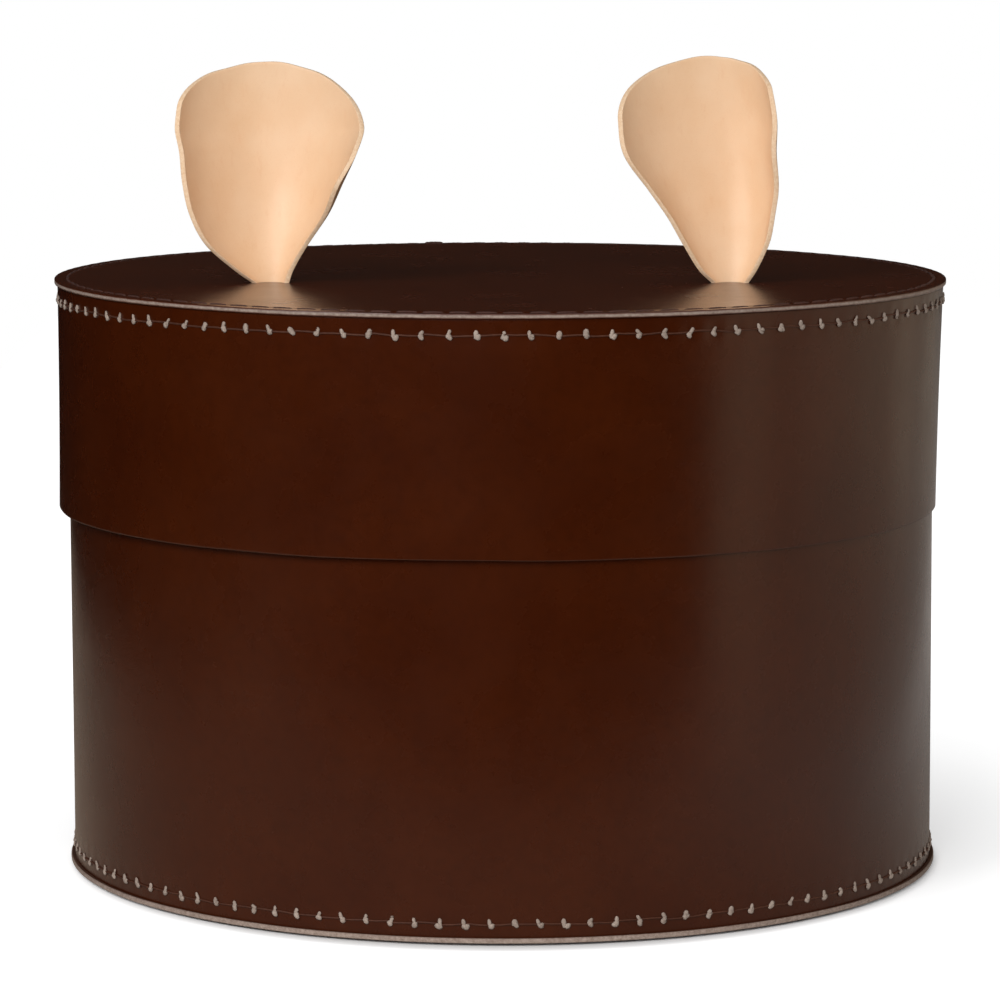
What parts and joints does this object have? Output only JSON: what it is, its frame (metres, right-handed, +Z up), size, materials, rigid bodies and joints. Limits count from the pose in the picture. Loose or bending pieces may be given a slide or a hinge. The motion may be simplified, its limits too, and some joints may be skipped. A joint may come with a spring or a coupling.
{
  "type": "collar box",
  "caption": "Round slip-lid box of stitched dark brown leather, with curled undyed leather ears on the lid as handles.",
  "frame": {"origin": "centre of the underside of the base disc, on the surface that the box stands on", "axes": "+Z up through the lid, -Y to the front that the ears open towards, +X to the right seen from the front"},
  "size_m": [0.216, 0.216, 0.1962],
  "materials": {
    "brown_leather": "smooth, satin",
    "natural_leather": "undyed, matt satin",
    "pale_thread": "waxed",
    "brown_thread": "waxed"
  },
  "bodies": {
    "base": {"base_wall": "brown_leather", "base_disc": "brown_leather", "base_seam_stitches": "pale_thread", "base_seam_side_thread": "brown_thread", "base_closing_stitches": "brown_thread"},
    "lid": {"lid_wall": "brown_leather", "lid_disc": "brown_leather", "lid_seam_stitches": "pale_thread", "lid_seam_side_thread": "brown_thread", "lid_closing_stitches": "brown_thread", "ear_left": "natural_leather", "ear_right": "natural_leather", "ear_patch_left": "brown_leather", "ear_patch_right": "brown_leather"}
  },
  "joints": [
    {"name": "lid_lift", "type": "slide", "parent": "base", "child": "lid", "axis": [0, 0, 1], "range_m": [0, 0.07]}
  ]
}
